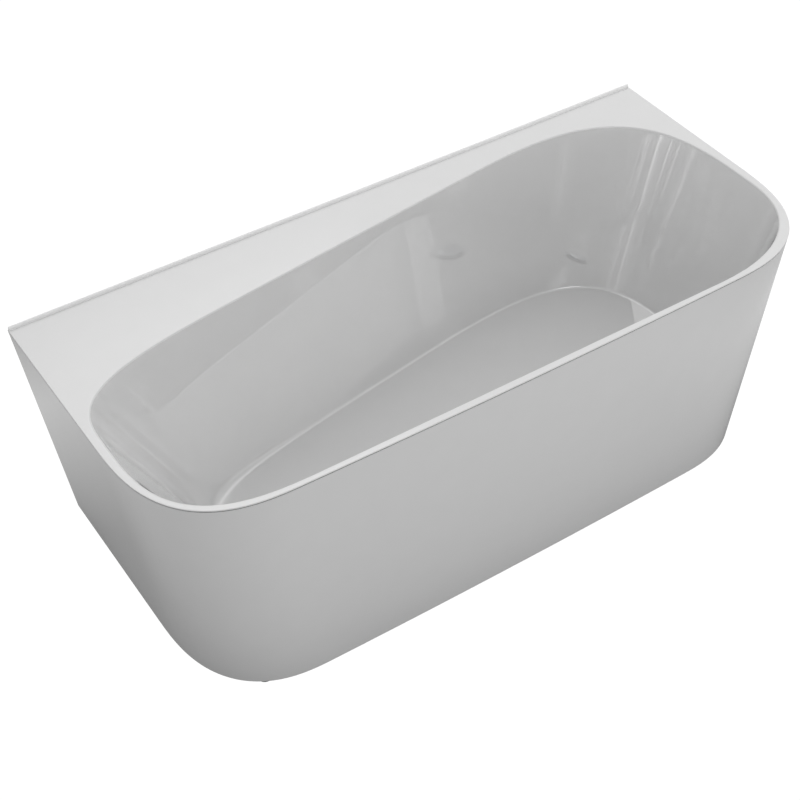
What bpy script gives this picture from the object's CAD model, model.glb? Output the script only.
# %% [markdown]
# # A back-to-wall bath
# The bath stands on the floor with its flat back against a wall. Two formed sheets of white acrylic make
# nearly all of what the eye sees: the basin with its deck, and the skirt round the front and both ends.
# A steel cradle with screw feet, timber battens and a click-clack waste hide inside. Everything below is
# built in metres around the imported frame, which says where each piece sits.

# %% Load the frame
import math

import bmesh
import bpy
import numpy as np
from mathutils import Matrix, Vector
from numpy.linalg import norm, svd


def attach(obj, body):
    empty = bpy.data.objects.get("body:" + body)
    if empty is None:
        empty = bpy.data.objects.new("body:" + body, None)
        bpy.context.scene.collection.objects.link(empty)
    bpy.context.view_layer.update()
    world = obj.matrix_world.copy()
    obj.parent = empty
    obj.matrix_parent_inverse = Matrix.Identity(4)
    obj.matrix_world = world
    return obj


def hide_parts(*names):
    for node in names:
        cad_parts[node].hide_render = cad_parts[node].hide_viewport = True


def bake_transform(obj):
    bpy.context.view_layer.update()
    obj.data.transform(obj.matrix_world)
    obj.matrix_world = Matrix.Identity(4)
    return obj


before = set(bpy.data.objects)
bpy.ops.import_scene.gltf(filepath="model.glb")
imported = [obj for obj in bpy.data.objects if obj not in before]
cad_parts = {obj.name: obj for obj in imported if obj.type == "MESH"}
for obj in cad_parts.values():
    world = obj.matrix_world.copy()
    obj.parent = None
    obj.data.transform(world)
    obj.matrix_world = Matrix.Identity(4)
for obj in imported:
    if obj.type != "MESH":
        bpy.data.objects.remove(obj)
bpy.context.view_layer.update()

MM = 0.001

# %% Objects in the scene


def add_object(name, data):
    """A new object in the scene."""
    made = bpy.data.objects.new(name, data)
    bpy.context.scene.collection.objects.link(made)
    return made


# %% [markdown]
# ## The view and the light
# The view is from above the head end with a long lens, so that the lines stay nearly parallel. The light is
# a soft sky that is brighter behind the foot end, and eight soft panels, two of which show in the gloss.
# Small hard lamps would be simpler, but they draw sharp shadows on white goods.

# %% Camera
CAMERA_AT = (-1.56435, -2.1923, 2.8313)
YAW, PITCH, ROLL = 0.59108, 0.76672, 0.00335
FOCAL_LENGTH = 71.34  # mm, on a sensor 36 mm wide
FAR_CLIP = 50


def add_camera():
    """A camera from its place and its yaw, pitch and roll in radians."""
    ahead = Vector((math.sin(YAW) * math.cos(PITCH), math.cos(YAW) * math.cos(PITCH), -math.sin(PITCH)))
    level = Vector((math.cos(YAW), -math.sin(YAW), 0))
    upright = level.cross(ahead)
    right = math.cos(ROLL) * level + math.sin(ROLL) * upright
    up = -math.sin(ROLL) * level + math.cos(ROLL) * upright
    data = bpy.data.cameras.new("camera")
    data.lens = FOCAL_LENGTH
    data.clip_end = FAR_CLIP
    camera = add_object("camera", data)
    turn = Matrix((right, up, -ahead)).transposed().to_4x4()
    camera.matrix_world = Matrix.Translation(CAMERA_AT) @ turn
    return camera


bpy.context.scene.camera = add_camera()
bpy.context.scene.view_settings.view_transform = "Standard"
print("camera at", CAMERA_AT)

# %% Node helper


def feed(tree, node, inputs):
    """Gives each input a value, a socket to link from, or a node whose first output is meant."""
    for key, value in inputs.items():
        if isinstance(value, bpy.types.Node):
            value = value.outputs[0]
        if isinstance(value, bpy.types.NodeSocket):
            tree.links.new(value, node.inputs[key])
        else:
            node.inputs[key].default_value = value


def add(tree, kind, inputs=None, **settings):
    """Adds a node with its settings and feeds its inputs."""
    made = tree.nodes.new(kind)
    for key, value in settings.items():
        setattr(made, key, value)
    feed(tree, made, inputs or {})
    return made


VECTOR = "ShaderNodeVectorMath"


def calc(tree, operation, *values, kind="ShaderNodeMath"):
    """A node that works out an operation on its values."""
    return add(tree, kind, dict(enumerate(values)), operation=operation)


def linear(hex_colour):
    """An sRGB hex colour as linear red, green, blue and alpha."""
    parts = [int(hex_colour[n:n + 2], 16) / 255 for n in (1, 3, 5)]
    return tuple(p / 12.92 if p <= 0.04045 else ((p + 0.055) / 1.055) ** 2.4 for p in parts) + (1.0,)


# %% Sky
SKY_STRENGTH = 0.52
SKY_SEEN = 1.05  # what the camera sees behind everything
BRIGHT_SIDE = (0.5, 0.5, 0.707)  # the studio's brighter wall, behind the foot end
BRIGHT_SIDE_STRENGTH = 0.82
BRIGHT_SIDE_FOCUS = 8.0

world = bpy.data.worlds.new("studio")
bpy.context.scene.world = world
world.use_nodes = True
sky = world.node_tree
way = add(sky, "ShaderNodeTexCoord").outputs["Generated"]
facing = calc(sky, "DOT_PRODUCT", way, BRIGHT_SIDE, kind=VECTOR).outputs["Value"]
lobe = calc(sky, "POWER", calc(sky, "MAXIMUM", facing, 0.0), BRIGHT_SIDE_FOCUS)
soft = calc(sky, "MULTIPLY_ADD", lobe, BRIGHT_SIDE_STRENGTH, SKY_STRENGTH)
seen = add(sky, "ShaderNodeLightPath").outputs["Is Camera Ray"]
strength = add(sky, "ShaderNodeMix", {0: seen, 2: soft, 3: SKY_SEEN})
feed(sky, sky.nodes["Background"], {"Color": (1, 1, 1, 1), "Strength": strength})
print("sky", SKY_STRENGTH)

# %% Panels
AIM = (0.0, 0.0, 0.3)
PANELS = {  # where each stands and its side, in metres, and its power in watts
    "front": ((0.3, -2.4, 2.4), 1.4, 9.1),
    "front_low": ((0.3, -2.8, 1.2), 1.4, 3.2),
    "front_left": ((-2.0, -2.2, 2.4), 2.6, 1.3),
    "front_right": ((2.2, -2.0, 2.2), 2.6, 1.6),
    "front_right_low": ((2.4, -2.0, 1.2), 2.2, 7.4),
    "right": ((2.6, 0.2, 2.4), 2.6, 3.2),
    "right_low": ((3.0, -0.6, 1.2), 2.2, 3.7),
    "behind": ((0.2, 1.5, 2.6), 1.4, 5.4),
}
MIRRORED = ("front", "behind")  # the others fill, and don't show in the gloss


def add_panel(name, at, side, power):
    """A soft square light that looks at the bath."""
    data = bpy.data.lights.new(name + "_panel", "AREA")
    data.size = side
    data.energy = power
    panel = add_object(name + "_panel", data)
    panel.visible_glossy = name in MIRRORED
    panel.location = at
    panel.rotation_euler = (Vector(AIM) - Vector(at)).to_track_quat("-Z", "Y").to_euler()


for name, (at, side, power) in PANELS.items():
    add_panel(name, at, side, power)
print(len(PANELS), "panels")

# %% [markdown]
# The bath stands on pale paper. The paper glows by itself, so that the bath throws no hard shadow on it, and
# it glows less close to the bath, where a real one would be shaded. Its glow follows the distance from a
# flat box in the bath's middle.

# %% Floor paper
PAPER_SEEN = 1.05
GLOW = [(0.3, 0.224), (0.7, 0.662), (1.3, 0.216), (2.3, 0.350)]  # distance in metres, strength
GLOW_REACH = 4.0
BATH_HALF = (0.55, 0.1, 0)
HALF_FLOOR, FLOOR_DROP = 9.0, 0.0005

paper = bpy.data.materials.new("floor_paper")
paper.use_nodes = True
paper_tree = paper.node_tree
paper_tree.nodes.remove(paper_tree.nodes["Principled BSDF"])
spot = add(paper_tree, "ShaderNodeNewGeometry").outputs["Position"]
spot = calc(paper_tree, "ABSOLUTE", spot, kind=VECTOR)
spot = calc(paper_tree, "SUBTRACT", spot, BATH_HALF, kind=VECTOR)
spot = calc(paper_tree, "MAXIMUM", spot, (0, 0, 0), kind=VECTOR)
away = calc(paper_tree, "LENGTH", spot, kind=VECTOR).outputs["Value"]
share = calc(paper_tree, "DIVIDE", away, GLOW_REACH)
ramp = add(paper_tree, "ShaderNodeValToRGB", {"Fac": share})
for number, (distance, glow) in enumerate(GLOW):
    stops = ramp.color_ramp.elements
    stop = stops[number] if number < 2 else stops.new(distance / GLOW_REACH)
    stop.position = distance / GLOW_REACH
    stop.color = (glow, glow, glow, 1)
glowing = add(paper_tree, "ShaderNodeEmission", {"Color": ramp})
bright = add(paper_tree, "ShaderNodeEmission", {"Strength": PAPER_SEEN})
seen = add(paper_tree, "ShaderNodeLightPath").outputs["Is Camera Ray"]
shown = add(paper_tree, "ShaderNodeMixShader", {0: seen, 1: glowing, 2: bright})
feed(paper_tree, paper_tree.nodes["Material Output"], {"Surface": shown})
floor_mesh = bpy.data.meshes.new("floor")
corners = [(x * HALF_FLOOR, y * HALF_FLOOR, -FLOOR_DROP) for x, y in ((-1, -1), (1, -1), (1, 1), (-1, 1))]
floor_mesh.from_pydata(corners, [], [(0, 1, 2, 3)])
floor_mesh.materials.append(paper)
floor = add_object("floor", floor_mesh)
print("floor of", 2 * HALF_FLOOR, "m")

# %% [markdown]
# ## Materials
# Every finish starts from what the real one is. One function lays a pattern between two colours and lets
# it steer the gloss and a little relief. The pattern is worked out in millimetres on the object's own
# coordinates, so it doesn't swim when a piece moves with its joint.

# %% One function for all finishes


def per_mm(size):
    """Texture scale for features of a size in millimetres."""
    return 1000.0 / size


def surface(name, dark, light, pattern, roughness, bump=0.0, metallic=0.0, ior=1.5, coat=0.0):
    """A material from a pattern: two colours, a roughness or a range of it, and a relief in millimetres."""
    material = bpy.data.materials.new(name)
    material.use_nodes = True
    tree = material.node_tree
    factor = pattern(tree, add(tree, "ShaderNodeTexCoord").outputs["Object"])
    colour = add(tree, "ShaderNodeMix", {0: factor, 6: linear(dark), 7: linear(light)}, data_type="RGBA")
    if isinstance(roughness, tuple):
        least, most = roughness
        roughness = add(tree, "ShaderNodeMapRange", {"Value": factor, "To Min": least, "To Max": most})
    inputs = {"Base Color": colour.outputs[2], "Roughness": roughness, "Metallic": metallic, "IOR": ior,
              "Coat Weight": coat}
    if bump:
        inputs["Normal"] = add(tree, "ShaderNodeBump", {"Height": factor, "Distance": bump * MM})
    feed(tree, tree.nodes["Principled BSDF"], inputs)
    return material


def noise(tree, where, size, detail):
    """A noise texture with features of a size in millimetres."""
    return add(tree, "ShaderNodeTexNoise", {"Vector": where, "Scale": per_mm(size), "Detail": detail})


def cloud(size, detail=4.0, stretch=(1, 1, 1)):
    """A soft noise pattern with features of a size in millimetres."""
    def pattern(tree, where):
        scaled = add(tree, "ShaderNodeMapping", {"Vector": where, "Scale": stretch})
        return noise(tree, scaled, size, detail)
    return pattern


def cells(size, stretch=(1, 1, 1)):
    """A pattern of flakes, each with its own tone, of a size in millimetres."""
    def pattern(tree, where):
        wobble = noise(tree, where, size * 1.5, 2.0)
        moved = add(tree, VECTOR, {0: wobble.outputs["Color"], "Scale": size * 0.5 * MM}, operation="SCALE")
        bent = calc(tree, "ADD", where, moved, kind=VECTOR)
        scaled = add(tree, "ShaderNodeMapping", {"Vector": bent, "Scale": stretch})
        flakes = add(tree, "ShaderNodeTexVoronoi", {"Vector": scaled, "Scale": per_mm(size)})
        return add(tree, "ShaderNodeSeparateColor", {"Color": flakes.outputs["Color"]})
    return pattern


RING_WIDTH, PORE_SIZE, PORE_SHARE = 7.0, 1.4, 0.35  # the first two in millimetres
BANDS_IN_WAVE = 6.3  # a wave texture has about this many bands in one unit of its scale


def grain(along):
    """Softwood grain: long streaks along one axis, with the bands of the year rings."""
    long_axis = {"X": (0.04, 1, 1), "Y": (1, 0.04, 1)}[along]

    def pattern(tree, where):
        scaled = add(tree, "ShaderNodeMapping", {"Vector": where, "Scale": long_axis})
        bands = add(tree, "ShaderNodeTexWave",
                    {"Vector": scaled, "Scale": per_mm(RING_WIDTH) / BANDS_IN_WAVE,
                     "Distortion": 5.0, "Detail": 3.0, "Detail Scale": 1.6}, bands_direction="Z")
        pores = noise(tree, scaled, PORE_SIZE, 3.0)
        return add(tree, "ShaderNodeMix", {0: PORE_SHARE, 2: bands.outputs["Fac"], 3: pores})
    return pattern


# %% [markdown]
# ### White sanitary acrylic
# Cast acrylic sheet, 5 mm before it is drawn over the mould. The inside of the basin keeps the polish of
# the sheet, and the deck and skirt are buffed to a satin. So there are two finishes of one acrylic, and a
# whiter extruded one for the upstand. A faint long wave stands for the orange peel of formed sheet.

# %% Acrylic
ACRYLIC_DARK, ACRYLIC_LIGHT = "#E2E2E2", "#E5E5E5"
peel = cloud(60, detail=1.0)
ACRYLIC_IOR = 1.49


def acrylic(name, roughness, coat_roughness, coat_ior):
    """The sheet's finish: its own roughness, and the gloss of its face as a coat."""
    material = surface(name, ACRYLIC_DARK, ACRYLIC_LIGHT, peel, roughness, 0.01, ior=ACRYLIC_IOR, coat=1.0)
    tree = material.node_tree
    feed(tree, tree.nodes["Principled BSDF"], {"Coat Roughness": coat_roughness, "Coat IOR": coat_ior})
    return material


polished = acrylic("polished_acrylic", 0.12, 0.02, 3.4)
satin = acrylic("satin_acrylic", 0.4, 0.2, 1.7)
extruded = surface("extruded_acrylic", "#F6F6F6", "#FBFBFB", peel, 0.35, 0.01, ior=ACRYLIC_IOR)

# %% [markdown]
# ### What hides inside
# Sprayed glass-fibre laminate is rough and slightly yellow. Chipboard shows pressed flakes, pine its long
# grain. Galvanised tube has the frost-like spangle of zinc that cooled slowly, and plated screws and
# studs are smoother and bluer. The moulded plastics carry a fine spark-eroded grain.

# %% Other finishes
laminate = surface("glass_fibre_laminate", "#B9B49C", "#DAD7C6", cloud(9, 6.0), (0.38, 0.6), 0.6, ior=1.53)
chipboard = surface("chipboard", "#8A6B45", "#C9A877", cells(5, (1, 1, 2.2)), (0.7, 0.9), 0.12)
pine_x = surface("planed_pine_along", "#B98A57", "#DDBB87", grain("X"), (0.5, 0.7), 0.08)
pine_y = surface("planed_pine_across", "#B98A57", "#DDBB87", grain("Y"), (0.5, 0.7), 0.08)
galvanised = surface("galvanised_steel", "#8E9295", "#BFC3C5", cells(11), (0.34, 0.55), 0.01, metallic=1.0)
zinc = surface("zinc_plated_steel", "#A9ACB0", "#CDD0D2", cloud(14, 5.0), (0.22, 0.36), 0.006, metallic=1.0)
black_plastic = surface("black_polyethylene", "#131414", "#1F2020", cloud(0.9, 2.0), (0.45, 0.6), 0.02)
grey_plastic = surface("grey_polyamide", "#55585A", "#64676A", cloud(0.9, 2.0), (0.42, 0.55), 0.02)
white_plastic = surface("white_acetal", "#D5D6D3", "#E2E3E0", cloud(1.2, 2.0), (0.28, 0.4), 0.01)
rubber = surface("black_nitrile_rubber", "#17181A", "#242527", cloud(1.5, 3.0), (0.6, 0.8), 0.02)
chrome = surface("chrome_plate", "#E2E3E5", "#EEEFF0", cloud(40, 5.0), (0.16, 0.22), metallic=1.0)
adhesive = surface("grey_bonding_adhesive", "#2C2F31", "#3A3D3F", cloud(4, 3.0), (0.5, 0.65), 0.05)
wire_marks = cloud(3, 3.0, (1, 1, 0.2))
spring_wire = surface("drawn_spring_wire", "#7C7F83", "#A7AAAD", wire_marks, (0.25, 0.4), 0.01, metallic=1.0)
print(len(bpy.data.materials), "materials")

# %% [markdown]
# ## Outlines
# The basin's mouth and floor are four-sided, with a full, soft corner at each vertex. A superellipse draws
# such a corner: a power of 2 gives an ellipse, and a higher power fills it. An outline set point by point
# would look lumpy in the gloss.

# %% Sizes of the outlines, in millimetres
LENGTH, DEPTH, RIM, FLOOR_GAP, WELL_FLOOR = 1700.0, 736.0, 602.0, 4.0, 162.0
END_TAPER, FRONT_TAPER = 74.0, 5.0
HAIR = 0.15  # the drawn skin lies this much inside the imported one
WALL_Y = DEPTH / 2 - HAIR
OUTSIDE = {"rim": dict(reach=296, start=-47, power=2.79, bow=12.4),
           "foot": dict(reach=270, start=-53, power=2.63, bow=10.7)}
MOUTH = dict(left=-830, right=829, front=-344, back=(129.5, 351), turn=(-71, -110), bow=10,
             front_left=(317, 2.96), front_right=(312, 2.4), back_right=(550, 2.98), back_left=(508, 3.83))
WELL = dict(left=-590, right=705, front=-290, back=(95, 310), turn=(-70, -90), bow=7,
            front_left=(300, 2.8), front_right=(300, 2.8), back_right=(618, 3.3), back_left=(355, 3.9))
STEPS = 240  # points along the back half of a basin's outline, and as many along the front half
CORNER_STEPS, STRAIGHT_STEPS, END_STEPS = 90, 30, 13  # the same for the outside's parts

# %% Corners and closed outlines


def corner(vertex, start, end, power, steps=1500):
    """Points of a soft corner at a vertex, from start on one side to end on the other."""
    angle = np.linspace(0, math.pi / 2, steps + 1)
    along, across = np.cos(angle), np.sin(angle)
    reach = (along ** power + across ** power) ** (1 / power)
    vertex, start, end = np.array(vertex, float), np.array(start, float), np.array(end, float)
    centre = start + end - vertex
    return centre + np.outer(along / reach, start - centre) + np.outer(across / reach, end - centre)


def evenly(points, count):
    """Points spaced evenly along a line of points, without its last point."""
    run = np.r_[0, np.cumsum(norm(np.diff(points, axis=0), axis=1))]
    stops = np.linspace(0, run[-1], count + 1)[:-1]
    return np.c_[np.interp(stops, run, points[:, 0]), np.interp(stops, run, points[:, 1])]


def basin_outline(part):
    """Closed outline in plan, from the middle of the head end round the back and along the front."""
    left, right, front = part["left"], part["right"], part["front"]
    head, foot = np.array([left, part["turn"][0]]), np.array([right, part["turn"][1]])
    back = np.array([1, (part["back"][1] - part["back"][0]) / (right - left)])
    ahead = np.array([1, 0])
    at = np.array([left, part["back"][0]])
    behind = corner(at, head, at + back * part["back_left"][0], part["back_left"][1])
    at = np.array([right, part["back"][1]])
    behind = np.r_[behind, corner(at, at - back * part["back_right"][0], foot, part["back_right"][1])]
    at = np.array([right, front])
    facing = corner(at, foot, at - ahead * part["front_right"][0], part["front_right"][1])
    at = np.array([left, front])
    facing = np.r_[facing, corner(at, at + ahead * part["front_left"][0], head, part["front_left"][1])]
    turn_y = np.where(facing[:, 0] < 0, head[1], foot[1])
    drop = np.clip((turn_y - facing[:, 1]) / (turn_y - front), 0, None)
    facing[:, 1] -= part["bow"] * (1 - (2 * facing[:, 0] / LENGTH) ** 2) * drop
    return np.r_[evenly(behind, STEPS), evenly(facing, STEPS)]


def outward(ring):
    """Unit normals in plan of a closed ring that runs clockwise."""
    way = np.roll(ring, -1, axis=0) - np.roll(ring, 1, axis=0)
    normal = np.c_[-way[:, 1], way[:, 0]]
    return normal / norm(normal, axis=1)[:, None]


mouth, well = basin_outline(MOUTH), basin_outline(WELL)
lean = np.arctan2(((mouth - well) * outward(well)).sum(axis=1), RIM - WELL_FLOOR)
print("wall leans %.1f to %.1f degrees" % (np.degrees(lean.min()), np.degrees(lean.max())))

# %% Rings of the basin's wall and of the fillet at its floor
FILLET_LEAST, FILLET_MOST, FILLET_FROM, FILLET_GROWTH, FILLET_STEPS = 6.0, 30.0, 100.0, 3.5, 12


def level(ring, height):
    """A plan ring at a height."""
    return np.c_[ring, np.full(len(ring), height)]


def wall_ring(height, skin):
    """Ring on the basin's wall at one height or at each point's own, moved outwards by a skin thickness."""
    height = np.broadcast_to(height, len(mouth))
    share = ((RIM - height) / (RIM - WELL_FLOOR))[:, None]
    ring = mouth + (well - mouth) * share
    return np.c_[ring + outward(ring) * (skin / np.cos(lean))[:, None], height]


def fillet_rings(skin):
    """Rings from the flat floor up to the wall; the fillet grows towards the lounging slope."""
    nearness = np.clip(FILLET_FROM - well[:, 0], 0, None) / (FILLET_FROM - WELL["left"])
    tangent = FILLET_LEAST + (FILLET_MOST - FILLET_LEAST) * nearness ** FILLET_GROWTH
    turn = math.pi / 2 - lean
    radius = tangent / np.tan(turn / 2)
    normal = outward(well)
    middle = np.c_[well - normal * tangent[:, None], WELL_FLOOR + radius]
    rings = []
    for step in range(FILLET_STEPS + 1):
        angle = turn * step / FILLET_STEPS
        away = np.c_[normal * np.sin(angle)[:, None], -np.cos(angle)]
        rings.append(middle + away * (radius + skin)[:, None])
    return rings


# %% Outline of the outside


def outside(height, inward=0.0):
    """Outside outline at a height, from the wall along the head end, round the front to the wall again."""
    share = (RIM - height) / (RIM - FLOOR_GAP)
    size = {key: at_rim + (OUTSIDE["foot"][key] - at_rim) * share for key, at_rim in OUTSIDE["rim"].items()}
    half = LENGTH / 2 - END_TAPER * share
    front = -DEPTH / 2 + FRONT_TAPER * share + size["bow"]
    start, reach = size["start"], size["reach"]
    side = corner((half, front), (half, start), (half - reach, front), size["power"], CORNER_STEPS)
    straight = np.linspace(0, half - reach, STRAIGHT_STEPS + 1)[1:-1]
    run = np.r_[side, np.c_[straight[::-1], np.full(len(straight), front)], [[0.0, front]]]
    run[:, 1] -= size["bow"] * (1 - (run[:, 0] / half) ** 2) * (start - run[:, 1]) / (start - front)
    run = np.r_[run[:-1] * (-1, 1), run[::-1]]
    ends = np.linspace(WALL_Y, start, END_STEPS + 1)[:-1]
    run = np.r_[np.c_[np.full(len(ends), -half), ends], run, np.c_[np.full(len(ends), half), ends[::-1]]]
    way = np.gradient(run, axis=0)
    way[0], way[-1] = (0, -1), (0, 1)
    inside = np.c_[-way[:, 1], way[:, 0]] / norm(way, axis=1)[:, None]
    return level(run + inside * (inward + HAIR), height)


print("outside outline:", len(outside(RIM)), "stations")

# %% Mesh helpers
SHARP, FINE_SHARP = 35.0, 50.0  # edges above this angle stay sharp, the second on threads
MERGE = 0.00001  # points closer than this, in metres, are one


def mesh_of(name, vertices, faces, edges=()):
    """A mesh from points in millimetres."""
    mesh = bpy.data.meshes.new(name)
    mesh.from_pydata([tuple(point) for point in np.asarray(vertices) * MM], list(edges), faces)
    return mesh


def point_outwards(mesh):
    """Turns all faces of a closed mesh to the outside."""
    shape = bmesh.new()
    shape.from_mesh(mesh)
    bmesh.ops.recalc_face_normals(shape, faces=shape.faces)
    shape.to_mesh(mesh)
    shape.free()


def closed_mesh(vertices, faces, *materials):
    """A closed mesh in millimetres with its faces turned outwards."""
    mesh = mesh_of("closed", vertices, faces)
    mesh.validate()
    point_outwards(mesh)
    for material in materials:
        mesh.materials.append(material)
    return mesh


def keep_mesh(name, mesh, node, body="bath", sharp=SHARP):
    """Shades a finished mesh smoothly and makes it a piece that stands for a frame node."""
    mesh.name = name
    mesh.shade_smooth()
    mesh.set_sharp_from_angle(angle=math.radians(sharp))
    piece = add_object(name, mesh)
    if body:
        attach(piece, body)
    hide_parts(node)
    return piece


def loft(rings, close_rings=True, close_loft=False):
    """Vertices and faces of quads between rings with equal numbers of points."""
    count = len(rings[0])
    vertices = np.concatenate(rings)
    faces = []
    for row in range(len(rings) if close_loft else len(rings) - 1):
        low, high = row * count, (row + 1) % len(rings) * count
        for n in range(count if close_rings else count - 1):
            after = (n + 1) % count
            faces.append((low + n, low + after, high + after, high + n))
    return vertices, faces


# %% [markdown]
# ## Geometry Nodes
# Threads, springs, screws and the skirt all follow a rule, so node trees make them. Each tree has named
# inputs, runs once on a plain mesh, and its result is kept as a mesh of its own. An array of rings would be
# simpler for a thread, but wouldn't climb like a real one.

# %% Building and running a tree


def new_tree(name, **inputs):
    """A Geometry Nodes tree with a geometry input, named inputs and a geometry output."""
    tree = bpy.data.node_groups.new(name, "GeometryNodeTree")
    tree.interface.new_socket(name="Geometry", in_out="INPUT", socket_type="NodeSocketGeometry")
    for label, kind in inputs.items():
        tree.interface.new_socket(name=label, in_out="INPUT", socket_type="NodeSocket" + kind)
    tree.interface.new_socket(name="Geometry", in_out="OUTPUT", socket_type="NodeSocketGeometry")
    return tree, tree.nodes.new("NodeGroupInput").outputs


def end_tree(tree, geometry, material):
    """Ends a tree in real meshes of one material."""
    real = add(tree, "GeometryNodeRealizeInstances", {"Geometry": geometry})
    painted = add(tree, "GeometryNodeSetMaterial", {"Geometry": real, "Material": material})
    add(tree, "NodeGroupOutput", {"Geometry": painted})


def run_tree(tree, blank, name, **values):
    """Runs a tree on a mesh and gives the result as a plain mesh."""
    holder = add_object(name, blank)
    grower = holder.modifiers.new("grow", "NODES")
    grower.node_group = tree
    for item in tree.interface.items_tree:
        if item.in_out == "INPUT" and item.name in values:
            grower[item.identifier] = values[item.name]
    bpy.context.view_layer.update()
    graph = bpy.context.evaluated_depsgraph_get()
    result = bpy.data.meshes.new_from_object(holder.evaluated_get(graph))
    bpy.data.objects.remove(holder)
    return result


# %% Turned blanks


EASE_STEPS, EASE_ROOM, EASE_LEAST = 3, 0.45, 0.02  # the room is a share of the shorter side


def eased(profile, radius):
    """A closed profile with each corner away from the axis rounded by a radius, or as far as it has room."""
    points = [np.array(point, float) for point in profile]
    result = []
    for n, here in enumerate(points):
        before, after = points[n - 1], points[(n + 1) % len(points)]
        room = min(norm(before - here), norm(after - here)) * EASE_ROOM
        cut = min(radius, room)
        if here[0] == 0 or cut < EASE_LEAST:
            result.append(tuple(here))
            continue
        start = here + (before - here) / norm(before - here) * cut
        end = here + (after - here) / norm(after - here) * cut
        for share in np.linspace(0, 1, EASE_STEPS + 1):
            bend = (1 - share) ** 2 * start + 2 * share * (1 - share) * here + share ** 2 * end
            result.append(tuple(bend))
    return result


def turned(profile, at, foot, segments):
    """Mesh of a closed profile of (radius, height) pairs spun round an upright axis."""
    angles = np.arange(segments) * 2 * math.pi / segments
    vertices, rows, faces = [], [], []
    for radius, height in profile:
        start = len(vertices)
        if radius == 0:
            vertices.append((at[0], at[1], foot + height))
            rows.append([start] * segments)
        else:
            vertices += [(at[0] + radius * math.cos(a), at[1] + radius * math.sin(a), foot + height)
                         for a in angles]
            rows.append(list(range(start, start + segments)))
    for low, high in zip(rows, rows[1:] + rows[:1]):
        for n in range(segments):
            after = (n + 1) % segments
            face = list(dict.fromkeys((low[n], low[after], high[after], high[n])))
            if len(face) > 2:
                faces.append(face)
    mesh = mesh_of("turned", vertices, faces)
    point_outwards(mesh)
    return mesh


# %% [markdown]
# ### Threads and springs
# A thread is a ridge that climbs a rod by one pitch for each turn. A spiral curve carries a small profile
# round, and the rod itself is the blank that the tree is given. The same tree without a blank is a spring.

# %% The tree for anything that winds round an axis
THREAD_STEPS = 28  # straight steps in each turn


def winding_tree(name, material, profile_sides):
    """A tree that winds a profile round an upright axis and joins it to the mesh it is given."""
    tree, given = new_tree(name, Middle="Vector", Radius="Float", Turns="Float", Height="Float",
                           Wire="Float", Squash="Float")
    spiral = add(tree, "GeometryNodeCurveSpiral",
                 {"Resolution": THREAD_STEPS, "Rotations": given["Turns"], "Start Radius": given["Radius"],
                  "End Radius": given["Radius"], "Height": given["Height"]})
    level_normals = add(tree, "GeometryNodeSetCurveNormal", {"Curve": spiral}, mode="Z_UP")
    ridge = add(tree, "GeometryNodeCurvePrimitiveCircle",
                {"Resolution": profile_sides, "Radius": given["Wire"]})
    squash = add(tree, "ShaderNodeCombineXYZ", {"X": given["Squash"], "Y": 1.0, "Z": 1.0})
    flat = add(tree, "GeometryNodeTransform", {"Geometry": ridge, "Scale": squash})
    wound = add(tree, "GeometryNodeCurveToMesh",
                {"Curve": level_normals, "Profile Curve": flat, "Fill Caps": True})
    placed = add(tree, "GeometryNodeTransform", {"Geometry": wound, "Translation": given["Middle"]})
    joined = add(tree, "GeometryNodeJoinGeometry", {0: given["Geometry"]})
    feed(tree, joined, {0: placed})
    end_tree(tree, joined, material)
    return tree


def wind(tree, blank, at, foot, top, radius, pitch, wire, squash=1.0):
    """Winds a ridge round a blank, in millimetres, between two heights."""
    return run_tree(tree, blank, "blank", Middle=(at[0] * MM, at[1] * MM, foot * MM), Radius=radius * MM,
                    Turns=(top - foot) / pitch, Height=(top - foot) * MM, Wire=wire * MM, Squash=squash)


stud_thread = winding_tree("stud thread", zinc, 4)
tail_thread = winding_tree("tail thread", chrome, 4)
screw_thread = winding_tree("screw thread", zinc, 4)
spring_winding = winding_tree("spring winding", spring_wire, 10)
print("winding trees ready")

# %% [markdown]
# ## The basin and its deck
# The real piece is one sheet of acrylic, heated and sucked over a mould. It is drawn as one closed skin:
# rings start at the waste hole, cross the floor, climb the wall, roll over the lip, cross the deck, turn
# under the rim and come back down outside. A solid cut with booleans would have the same shape, but its
# long thin triangles would spoil reflections.

# %% Deck edge seen from the mouth


def around(ring, outline):
    """Points on the closed outline that lie behind each point of a ring, seen from the origin."""
    closed = np.r_[outline[:, :2], outline[:1, :2]]
    dense = np.concatenate([np.linspace(a, b, 2 + int(norm(b - a)), endpoint=False)
                            for a, b in zip(closed, closed[1:])])
    bearing = np.arctan2(dense[:, 1], dense[:, 0])
    order = np.argsort(bearing)
    wanted = np.arctan2(ring[:, 1], ring[:, 0])
    distance = np.interp(wanted, bearing[order], np.hypot(*dense[order].T), period=2 * math.pi)
    spots = np.c_[np.cos(wanted) * distance, np.sin(wanted) * distance]
    for square in (outline[0, :2], outline[-1, :2]):
        spots[np.argmin(norm(spots - square, axis=1))] = square
    return level(spots, outline[0, 2])


# %% The shell's rings
SHEET, LIP_ROLL, EDGE_ROLL, EDGE_FLAT = 3.0, 3.0, 1.0, 0.5
WASTE = np.array([540.0, -45.0])
DISH = [(24.5, 4.0), (25.2, 4.0), (36.8, 4.0), (38.4, 3.85), (49.2, 0.25), (51.0, 0.0), (53.0, 0.0)]
DISH_SEAT, DISH_SPREAD = 3, 0.3  # rings of the flat seat, and how far the others move out with the skin
FLOOR_SHARES = (0.12, 0.4, 0.75, 0.985)  # where rings lie between the dish and the fillet
WALL_SHARES = np.linspace(0.02, 1, 16)  # and between the fillet and the top


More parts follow.
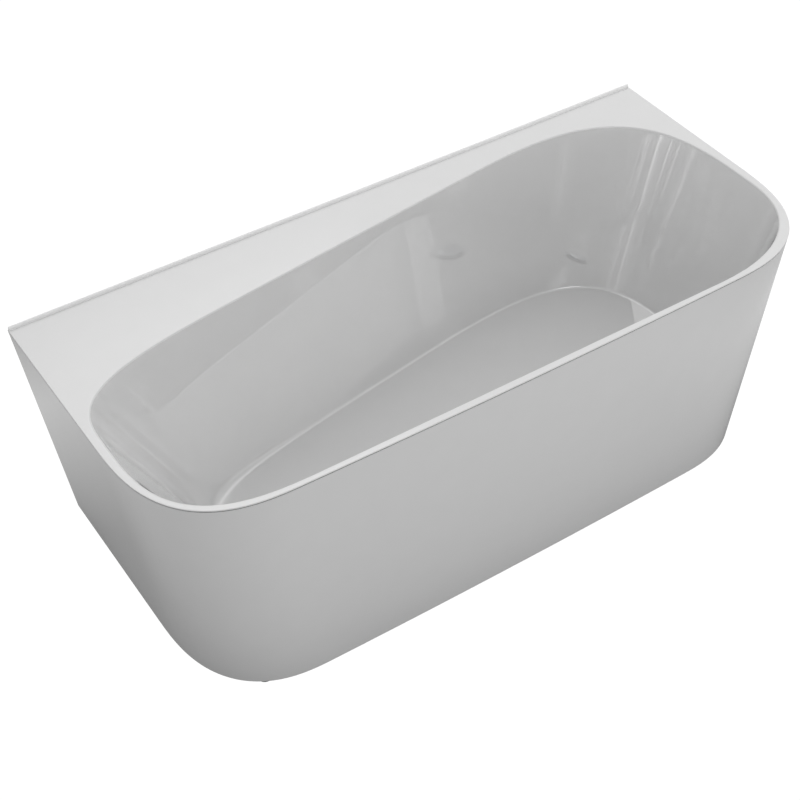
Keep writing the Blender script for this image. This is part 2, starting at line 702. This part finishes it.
def circle_towards(ring, radius, height):
    """Points of a circle round the waste, each in the direction of a point of the ring."""
    way = ring[:, :2] - WASTE
    way = way / norm(way, axis=1)[:, None]
    return level(WASTE + way * radius, height)


def floor_rings(skin, inner):
    """Rings from the waste hole over the dish to the start of the fillet."""
    height = WELL_FLOOR - skin
    rings = [circle_towards(inner, radius + (skin * DISH_SPREAD if n >= DISH_SEAT else 0), height - drop)
             for n, (radius, drop) in enumerate(DISH)]
    edge = rings[-1]
    return rings + [edge + (inner - edge) * share for share in FLOOR_SHARES]


def basin_rings(skin, top):
    """All rings of the basin's form, from the waste hole to a height on the wall."""
    fillet = fillet_rings(skin)
    start = fillet[-1][:, 2]
    wall = [wall_ring(start + (top - start) * share, skin) for share in WALL_SHARES]
    return floor_rings(skin, fillet[0]) + fillet + wall


def shell_rings():
    """The closed run of rings round the whole sheet, and how many rows of faces are polished."""
    rings = basin_rings(0.0, RIM - LIP_ROLL)
    inside_count = len(rings)
    for degrees in range(15, 91, 15):
        angle = math.radians(degrees)
        rings.append(wall_ring(RIM - LIP_ROLL * (1 - math.sin(angle)), LIP_ROLL * (1 - math.cos(angle))))
    lip = rings[-1]
    rings.append(level(lip[:, :2] + outward(lip[:, :2]) * EDGE_FLAT, RIM))
    rings.append(around(mouth, outside(RIM, EDGE_ROLL + EDGE_FLAT)))
    for degrees in range(0, 91, 18):
        angle = math.radians(degrees)
        outline = outside(RIM, EDGE_ROLL * (1 - math.sin(angle)))
        outline[:, 2] = RIM - EDGE_ROLL * (1 - math.cos(angle))
        rings.append(around(mouth, outline))
    rings.append(around(mouth, outside(RIM - SHEET, 0.0)))
    under = basin_rings(SHEET, RIM - SHEET)
    return rings + under[::-1], inside_count - 1


rings, polished_rings = shell_rings()
shell = closed_mesh(*loft(rings, close_loft=True), polished, satin)
satin_faces = np.arange(len(shell.polygons)) >= polished_rings * len(mouth)
shell.polygons.foreach_set("material_index", satin_faces.astype(np.int32))
keep_mesh("bath_shell_skin", shell, "bath_shell")
print("shell:", len(shell.polygons), "faces")

# %% [markdown]
# ### The laminate on the back
# Chopped glass and resin are sprayed on the back of the basin and rolled down by hand, which leaves soft
# lumps. The basin's rings, moved outwards, make both faces, and only the outer one is lumpy. A bump map
# alone would leave its silhouette smooth.

# %% Laminate
LAMINATE_FROM, LAMINATE_TO, LAMINATE_TOP, LUMP = 3.3, 6.3, 562.0, 0.6
WAVES, WAVE_COUNTS = 5, (20, 110)  # sine waves added up, and how many crests each has round the basin


def lumpy(ring, seed):
    """Thins the outer face by up to the lump's height, in waves that close round the ring."""
    chance = np.random.default_rng(seed)
    turn = np.linspace(0, 2 * math.pi, len(ring), endpoint=False)
    waves = [np.sin(chance.integers(*WAVE_COUNTS) * turn + chance.uniform(0, 6)) for _ in range(WAVES)]
    return LUMP * (0.5 + 0.5 * sum(waves) / WAVES)


inner_face = basin_rings(LAMINATE_FROM, LAMINATE_TOP)
thin = [lumpy(ring, seed) for seed, ring in enumerate(inner_face)]
outer_face = []
for near, far, loss in zip(inner_face, basin_rings(LAMINATE_TO, LAMINATE_TOP), thin):
    share = (loss / (LAMINATE_TO - LAMINATE_FROM))[:, None]
    outer_face.append(far + (near - far) * share)
coat = closed_mesh(*loft(inner_face + outer_face[::-1], close_loft=True), laminate)
keep_mesh("sprayed_laminate", coat, "shell_reinforcement")
print("laminate:", len(coat.polygons), "faces")

# %% [markdown]
# ## The skirt, its glue line and the upstand
# The skirt is a second formed sheet. It is widest under the rim and leans in towards the floor, and its
# top edge turns inwards to a flange that is glued under the deck. The glue line is what shows as a thin
# dark seam. Along the back of the deck stands a low bar that tiles or sealant run down to.

# %% Glue line
SKIRT_TOP, SKIRT_WALL, FLANGE = 597.0, 4.0, 3.2
BEAD_TOP, BEAD_FACE, BEAD_HOLLOW, BEAD_END = RIM - SHEET, 0.7, 0.2, 7.0


def band(profile):
    """Vertices and faces of one cross-section all along the outside, given as (height, inward) pairs."""
    rings = [outside(height, inward) for height, inward in profile]
    count, rows = len(rings[0]), len(profile)
    vertices, faces = loft(rings, close_rings=False, close_loft=True)
    faces.append([row * count for row in range(rows)])
    faces.append([row * count + count - 1 for row in range(rows)][::-1])
    return vertices, faces


bead_profile = [(SKIRT_TOP, BEAD_FACE), ((SKIRT_TOP + BEAD_TOP) / 2, BEAD_FACE + BEAD_HOLLOW),
                (BEAD_TOP, BEAD_FACE), (BEAD_TOP, BEAD_END), (SKIRT_TOP, BEAD_END)]
bead = closed_mesh(*band(bead_profile), adhesive)
keep_mesh("glue_line", bead, "rim_bond_bead")
print("glue line:", len(bead.polygons), "faces")

# %% [markdown]
# ### The skirt by a rule
# The skirt has one section all round, and every point of it leans in towards the floor in proportion to its
# depth below the rim. So a node tree draws it: the rim's outline is a curve, the section runs along it, and
# each point then moves by its own lean.

# %% The skirt's tree


def skirt_tree():
    """A tree that runs a section along an outline and leans each point in towards the floor."""
    tree, given = new_tree("leaning skirt", Section="Object", Rim="Float", Drop="Float")
    outline = add(tree, "GeometryNodeMeshToCurve", {"Mesh": given["Geometry"]})
    outline = add(tree, "GeometryNodeSetCurveNormal", {"Curve": outline}, mode="Z_UP")
    section = add(tree, "GeometryNodeObjectInfo", {"Object": given["Section"]})
    section = add(tree, "GeometryNodeMeshToCurve", {"Mesh": section.outputs["Geometry"]})
    panel = add(tree, "GeometryNodeCurveToMesh",
                {"Curve": outline, "Profile Curve": section, "Fill Caps": True})
    place = add(tree, "ShaderNodeSeparateXYZ", {0: add(tree, "GeometryNodeInputPosition")})
    below = calc(tree, "SUBTRACT", given["Rim"], place.outputs["Z"])
    share = calc(tree, "DIVIDE", below, given["Drop"])
    lean_in = add(tree, "GeometryNodeInputNamedAttribute", {"Name": "lean"}, data_type="FLOAT_VECTOR")
    moved = add(tree, VECTOR, {0: lean_in, "Scale": share}, operation="SCALE")
    leaning = add(tree, "GeometryNodeSetPosition", {"Geometry": panel, "Offset": moved})
    end_tree(tree, leaning, satin)
    return tree


def line_mesh(name, points, closed=False):
    """A mesh of one line of edges through points in millimetres."""
    last = len(points) - 1
    return mesh_of(name, points, [], [(n, n + 1) for n in range(last)] + [(last, 0)] * closed)


def set_vectors(mesh, name, vectors):
    """Gives each point of a mesh a vector of its own."""
    stored = mesh.attributes.new(name, "FLOAT_VECTOR", "POINT")
    stored.data.foreach_set("vector", np.asarray(vectors, np.float32).ravel())


# %% Skirt
FOOT_ROLL = ((0.0, 1.6), (0.12, 1.0), (0.5, 0.4), (1.2, 0.0), (3.0, 0.0))  # heights above the foot, insets
TOP_ROLL = ((2.0, 0.0), (0.8, 0.0), (0.2, 0.25), (0.0, 0.8), (0.0, 1.4))  # depths below the top, insets
FACE_HEIGHTS, BACK_HEIGHT = np.linspace(60, 560, 9), 300
skirt_section = [(FLOOR_GAP + up, inset) for up, inset in FOOT_ROLL]
skirt_section += [(height, 0.0) for height in FACE_HEIGHTS]
skirt_section += [(SKIRT_TOP - down, inset) for down, inset in TOP_ROLL]
skirt_section += [(SKIRT_TOP, SKIRT_WALL + FLANGE), (SKIRT_TOP - SKIRT_WALL, SKIRT_WALL + FLANGE),
                  (SKIRT_TOP - SKIRT_WALL, SKIRT_WALL), (BACK_HEIGHT, SKIRT_WALL), (FLOOR_GAP, SKIRT_WALL)]
rim_line, foot_line = outside(RIM), outside(FLOOR_GAP)
lean_mesh = line_mesh("rim line", rim_line)
set_vectors(lean_mesh, "lean", (foot_line - rim_line) * (1, 1, 0) * MM)
flat_section = [(-inset, RIM - height, 0) for height, inset in skirt_section]
section = bpy.data.objects.new("skirt_section", line_mesh("section", flat_section, closed=True))
panel = run_tree(skirt_tree(), lean_mesh, "rim line", Section=section, Rim=RIM * MM,
                 Drop=(RIM - FLOOR_GAP) * MM)
bpy.data.objects.remove(section)
keep_mesh("skirt_panel", panel, "outer_skirt")
point_outwards(panel)
print("skirt:", len(panel.polygons), "faces")

# %% Upstand


def bar_along_x(profile, half):
    """Vertices and faces of a closed profile of (y, z) pairs drawn along X, with both ends closed."""
    rings = [np.c_[np.full(len(profile), x), np.array(profile)] for x in (-half, half)]
    vertices, faces = loft(rings)
    count = len(profile)
    faces += [list(range(count)), list(range(len(vertices) - count, len(vertices)))[::-1]]
    return vertices, faces


UPSTAND_FRONT, UPSTAND_TOP, UPSTAND_ROLL, UPSTAND_CHAMFER, UPSTAND_HALF = 363.0, 610.0, 4.6, 0.4, 848.0
upstand_profile = [(UPSTAND_FRONT, RIM), (WALL_Y, RIM), (WALL_Y, UPSTAND_TOP - UPSTAND_CHAMFER),
                   (WALL_Y - UPSTAND_CHAMFER, UPSTAND_TOP)]
for angle in np.radians(np.arange(0, 91, 10)):
    upstand_profile.append((UPSTAND_FRONT + UPSTAND_ROLL * (1 - math.sin(angle)),
                            UPSTAND_TOP - UPSTAND_ROLL * (1 - math.cos(angle))))
upstand = closed_mesh(*bar_along_x(upstand_profile, UPSTAND_HALF), extruded)
keep_mesh("upstand_bar", upstand, "wall_upstand")
print("upstand:", len(upstand.polygons), "faces")

# %% Softened copies of frame pieces


def softened(node, material, width, body="bath"):
    """A copy of a frame piece with its flat faces joined and its edges rounded by a width in millimetres."""
    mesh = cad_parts[node].data.copy()
    shape = bmesh.new()
    shape.from_mesh(mesh)
    bmesh.ops.remove_doubles(shape, verts=shape.verts, dist=MERGE)
    bmesh.ops.dissolve_limit(shape, angle_limit=math.radians(1), verts=shape.verts, edges=shape.edges)
    shape.to_mesh(mesh)
    shape.free()
    mesh.shade_smooth()
    mesh.materials.clear()
    mesh.materials.append(material)
    piece = add_object(node + "_rounded", mesh)
    edge = piece.modifiers.new("rounding", "BEVEL")
    edge.width = width * MM
    edge.segments = 2
    edge.limit_method = "ANGLE"
    edge.angle_limit = math.radians(SHARP)
    edge.use_clamp_overlap = True
    edge.harden_normals = True
    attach(piece, body)
    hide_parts(node)


FRAME_FINISH = {  # material, edge radius in millimetres, slot
    "base_board": (chipboard, 0.4, "chipboard"),
    "rear_batten": (pine_x, 1.0, "pine"),
    "skirt_batten_front": (pine_x, 0.8, "pine"),
    "skirt_batten_left": (pine_y, 0.8, "pine"),
    "skirt_batten_right": (pine_y, 0.8, "pine"),
    "skirt_brackets": (zinc, 0.4, "zinc_steel"),
    "post_plates": (zinc, 0.4, "zinc_steel"),
    "foot_brackets": (galvanised, 0.6, "zinc_steel"),
    "tube_end_caps": (black_plastic, 0.5, "black_plastic"),
    "waste_backnut": (white_plastic, 0.8, "white_plastic"),
    "waste_strainer": (white_plastic, 0.4, "white_plastic"),
}
for name in ("frame_rail_front", "frame_rail_rear", "cross_rail_left", "cross_rail_centre",
             "cross_rail_right", "rear_post_left", "rear_post_centre", "rear_post_right"):
    FRAME_FINISH[name] = (galvanised, 1.6 if "rail" in name else 1.2, "galvanised_tube")
for name, (material, width, slot) in FRAME_FINISH.items():
    softened(name, material, width)
FOOT_AT = {"front_left": (-652, -308), "front_right": (652, -308), "rear_left": (-652, 300),
           "rear_right": (652, 300), "centre": (30, 0)}
for foot in FOOT_AT:
    softened("foot_%s_nuts" % foot, zinc, 0.7, body="nuts_" + foot)
print(len(FRAME_FINISH) + len(FOOT_AT), "rounded pieces")

# %% [markdown]
# ## The feet
# Each foot is a threaded stud in a moulded pad, with two nuts that grip the bracket. Turning them levels
# the bath. The M12 thread climbs 1.75 mm a turn, and its ridges show as fine bright lines from below.

# %% Studs and pads
STUD_FOOT, STUD_TOP, STUD_RADIUS, STUD_PITCH = 5.0, 122.0, 6.0, 1.75
STUD_ROOT = STUD_RADIUS - 0.61 * STUD_PITCH
STUD_RIDGE = 0.44 * STUD_PITCH  # half the width of the thread's ridge
STUD_PLAIN = 1.2  # the ends without thread
PAD_PROFILE = [(0, 0), (18.5, 0), (19.5, 1), (19.5, 2.4), (18.5, 3.4), (13.2, 3.4), (12, 4.6), (12, 15),
               (11, 16), (6.05, 16), (6.05, 5), (0, 5)]
for foot, at in FOOT_AT.items():
    rod = [(0, 0), (STUD_ROOT, 0), (STUD_ROOT, STUD_TOP - STUD_FOOT), (0, STUD_TOP - STUD_FOOT)]
    blank = turned(eased(rod, 0.8), at, STUD_FOOT, 24)
    stud = wind(stud_thread, blank, at, STUD_FOOT + STUD_PLAIN, STUD_TOP - STUD_PLAIN, STUD_ROOT, STUD_PITCH,
                STUD_RIDGE, (STUD_RADIUS - STUD_ROOT) / STUD_RIDGE)
    keep_mesh("stud_" + foot, stud, "foot_%s_stud" % foot, "foot_" + foot, FINE_SHARP)
    pad = turned(eased(PAD_PROFILE, 0.5), at, 0.0, 48)
    pad.materials.append(grey_plastic)
    keep_mesh("pad_" + foot, pad, "foot_%s_pad" % foot, "foot_" + foot)
print(len(FOOT_AT), "feet, each stud with", len(stud.polygons), "faces")

# %% [markdown]
# ## The waste
# A click-clack waste is a stack of turned and moulded parts on one axis, so each is a profile spun round
# that axis. The flange presses a rubber ring on the dish, the back nut pulls from below with a second ring
# and a washer, and inside stands the cartridge with the spring that lifts the plug.

# %% Turned parts of the waste
DISH_FLOOR, FLANGE_TOP, TAIL_FOOT, UNDER_DISH, STRAINER_TOP = 158.0, 162.0, 89.5, 151.7, 118.0
FLANGE_FOOT = 159.5 - TAIL_FOOT
BODY_TOP = FLANGE_TOP - TAIL_FOOT
TAIL_RADIUS, TAIL_ROOT, TAIL_BORE, TAIL_PITCH, FLANGE_RADIUS = 23.9, 22.7, 20.0, 2.309, 35
TAIL_RIDGE = 0.42 * TAIL_PITCH
GROOVE = (130.7, 132.7)  # parts the trap's thread from the back nut's
WASTE_SIDES = 96
body_profile = [(TAIL_BORE, 0), (TAIL_ROOT, 0), (TAIL_ROOT, FLANGE_FOOT), (FLANGE_RADIUS, FLANGE_FOOT),
                (FLANGE_RADIUS, BODY_TOP - 0.8), (FLANGE_RADIUS - 1.6, BODY_TOP), (TAIL_BORE + 2, BODY_TOP),
                (TAIL_BORE, BODY_TOP - 2)]
waste = turned(eased(body_profile, 0.6), WASTE, TAIL_FOOT, WASTE_SIDES)
for foot, top in ((TAIL_FOOT + 1.5, GROOVE[0]), (GROOVE[1], UNDER_DISH - 0.5)):
    waste = wind(tail_thread, waste, WASTE, foot, top, TAIL_ROOT, TAIL_PITCH, TAIL_RIDGE,
                 (TAIL_RADIUS - TAIL_ROOT) / TAIL_RIDGE)
keep_mesh("waste_body_turned", waste, "waste_body", sharp=FINE_SHARP)

DOME = [(31 * share, 9.6 - 2.0 * share ** 2) for share in np.linspace(1, 0, 12)]
TURNED = {  # profile, height of its foot, material, slot and edge radius
    "waste_gasket_top": ([(24.5, 0), (34, 0), (34, 1.5), (24.5, 1.5)], DISH_FLOOR, rubber, "rubber", 0.4),
    "waste_gasket_bottom": ([(24, 0), (36, 0), (36, 3), (24, 3)], UNDER_DISH - 3, rubber, "rubber", 0.8),
    "waste_washer": ([(24, 0), (34, 0), (34, 2), (24, 2)], UNDER_DISH - 5, white_plastic, "white_plastic",
                     0.3),
    "click_cartridge": ([(0, 0), (8.5, 0), (8.5, 31), (7.5, 32), (4.05, 32), (4.05, 28), (7.2, 28), (7.2, 3),
                         (0, 3)], STRAINER_TOP, white_plastic, "white_plastic", 0.4),
    "plug_stem": ([(0, 0), (6.8, 0), (6.8, 2), (4, 2), (4, 31.5), (0, 31.5)], 130.0, chrome, "chrome", 0.3),
    "plug_seal": ([(9.1, 0), (27, 0), (27, 1.5), (9.1, 1.5)], FLANGE_TOP, rubber, "rubber", 0.5),
    "plug_cap": ([(0, 4), (4.05, 4), (4.05, 0), (9, 0), (9, 6), (31, 6)] + DOME, 157.5, chrome, "chrome",
                 0.5),
}
for node, (profile, foot, material, slot, ease) in TURNED.items():
    mesh = turned(eased(profile, ease), WASTE, foot, WASTE_SIDES)
    mesh.materials.append(material)
    keep_mesh(node + "_turned", mesh, node, "plug" if node.startswith("plug") else "bath")
print("waste:", len(TURNED) + 1, "turned parts")

# %% The spring under the plug
SPRING_FOOT, SPRING_HIGH, SPRING_RADIUS, SPRING_TURNS, SPRING_WIRE = 121.0, 9.0, 6.8, 5.0, 0.6


def on_waste_axis(height):
    """A point of the waste's axis, in metres, at a height in millimetres."""
    return WASTE[0] * MM, WASTE[1] * MM, height * MM


spring = run_tree(spring_winding, bpy.data.meshes.new("empty"), "blank", Turns=SPRING_TURNS,
                  Radius=(SPRING_RADIUS - SPRING_WIRE) * MM, Middle=on_waste_axis(SPRING_FOOT + SPRING_WIRE),
                  Height=(SPRING_HIGH - 2 * SPRING_WIRE) * MM, Wire=SPRING_WIRE * MM, Squash=1.0)
coil = keep_mesh("plug_spring_coil", spring, "plug_spring", body=None, sharp=60)
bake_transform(coil)
print("spring:", len(spring.polygons), "faces")

# %% [markdown]
# ## Screws
# Three sets of wood screws hold the board, the rear batten and the skirt brackets. One screw is made once,
# with its thread, and a node tree sets a copy on every place, turned to the way that screw points. The
# places are read from the frame, so the copies always sit where the holes are.

# %% One screw, pointing up
HEAD, HEAD_HIGH, SHANK, PLAIN, POINT = 5.0, 2.5, 2.4, 6.0, 4.0
SCREW_PITCH, SCREW_RIDGE, SCREW_SQUASH = 2.2, 0.55, 1.25
HEAD_ONLY = 0.0035  # nothing but the head lies further from the axis, in metres


def screw_mesh(length):
    """A pan-head wood screw with its head at the origin and its point up."""
    core = [(0, 0.9), (1.6, 0.9), (2.1, 0), (HEAD - 1.2, 0), (HEAD - 0.3, 0.9), (HEAD, HEAD_HIGH),
            (SHANK, HEAD_HIGH), (SHANK, PLAIN), (SHANK - 0.7, PLAIN + 1), (SHANK - 0.7, length - POINT),
            (0, length)]
    blank = turned(eased(core, 0.25), (0, 0), 0.0, 20)
    return wind(screw_thread, blank, (0, 0), PLAIN + 0.4, length - POINT + 0.4, SHANK - 0.75, SCREW_PITCH,
                SCREW_RIDGE, SCREW_SQUASH)


def screw_places(node):
    """Head's middle, way and length of each screw in a frame node, in metres."""
    shape = bmesh.new()
    shape.from_mesh(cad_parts[node].data)
    bmesh.ops.remove_doubles(shape, verts=shape.verts, dist=MERGE)
    left, found = set(shape.verts), []
    while left:
        island, edge = set(), [left.pop()]
        while edge:
            vertex = edge.pop()
            island.add(vertex)
            for link in vertex.link_edges:
                other = link.other_vert(vertex)
                if other in left:
                    left.discard(other)
                    edge.append(other)
        points = np.array([vertex.co for vertex in island])
        centre = (points.min(axis=0) + points.max(axis=0)) / 2
        way = svd(points - points.mean(axis=0))[2][0]
        run = (points - centre) @ way
        across = norm(points - centre - np.outer(run, way), axis=1)
        if run[across > HEAD_ONLY].mean() > 0:
            way, run = -way, -run
        found.append((centre + way * run.min(), way, run.max() - run.min()))
    shape.free()
    return found


# %% The tree that sets screws on their places


def scatter_tree():
    """A tree that sets an object on each vertex, turned from up to the vertex's way."""
    tree, given = new_tree("screws on places", Screw="Object")
    way = add(tree, "GeometryNodeInputNamedAttribute", {"Name": "way"}, data_type="FLOAT_VECTOR")
    turn = add(tree, "FunctionNodeAlignRotationToVector", {"Vector": way}, axis="Z")
    screw = add(tree, "GeometryNodeObjectInfo", {"Object": given["Screw"], "As Instance": True})
    points = add(tree, "GeometryNodeMeshToPoints", {"Mesh": given["Geometry"]})
    copies = add(tree, "GeometryNodeInstanceOnPoints",
                 {"Points": points, "Rotation": turn, "Instance": screw.outputs["Geometry"]})
    end_tree(tree, copies, zinc)
    return tree


set_screws = scatter_tree()
for node in ("board_screws", "batten_screws", "bracket_screws"):
    places = screw_places(node)
    pattern = bpy.data.objects.new("screw_pattern", screw_mesh(places[0][2] / MM))
    spots = bpy.data.meshes.new("spots")
    spots.from_pydata([tuple(place[0]) for place in places], [], [])
    set_vectors(spots, "way", [place[1] for place in places])
    screws = run_tree(set_screws, spots, "spots", Screw=pattern)
    bpy.data.objects.remove(pattern)
    keep_mesh(node + "_set", screws, node, sharp=FINE_SHARP)
    print(node, len(places), "screws of", round(places[0][2] / MM, 1), "mm,", len(screws.polygons), "faces")
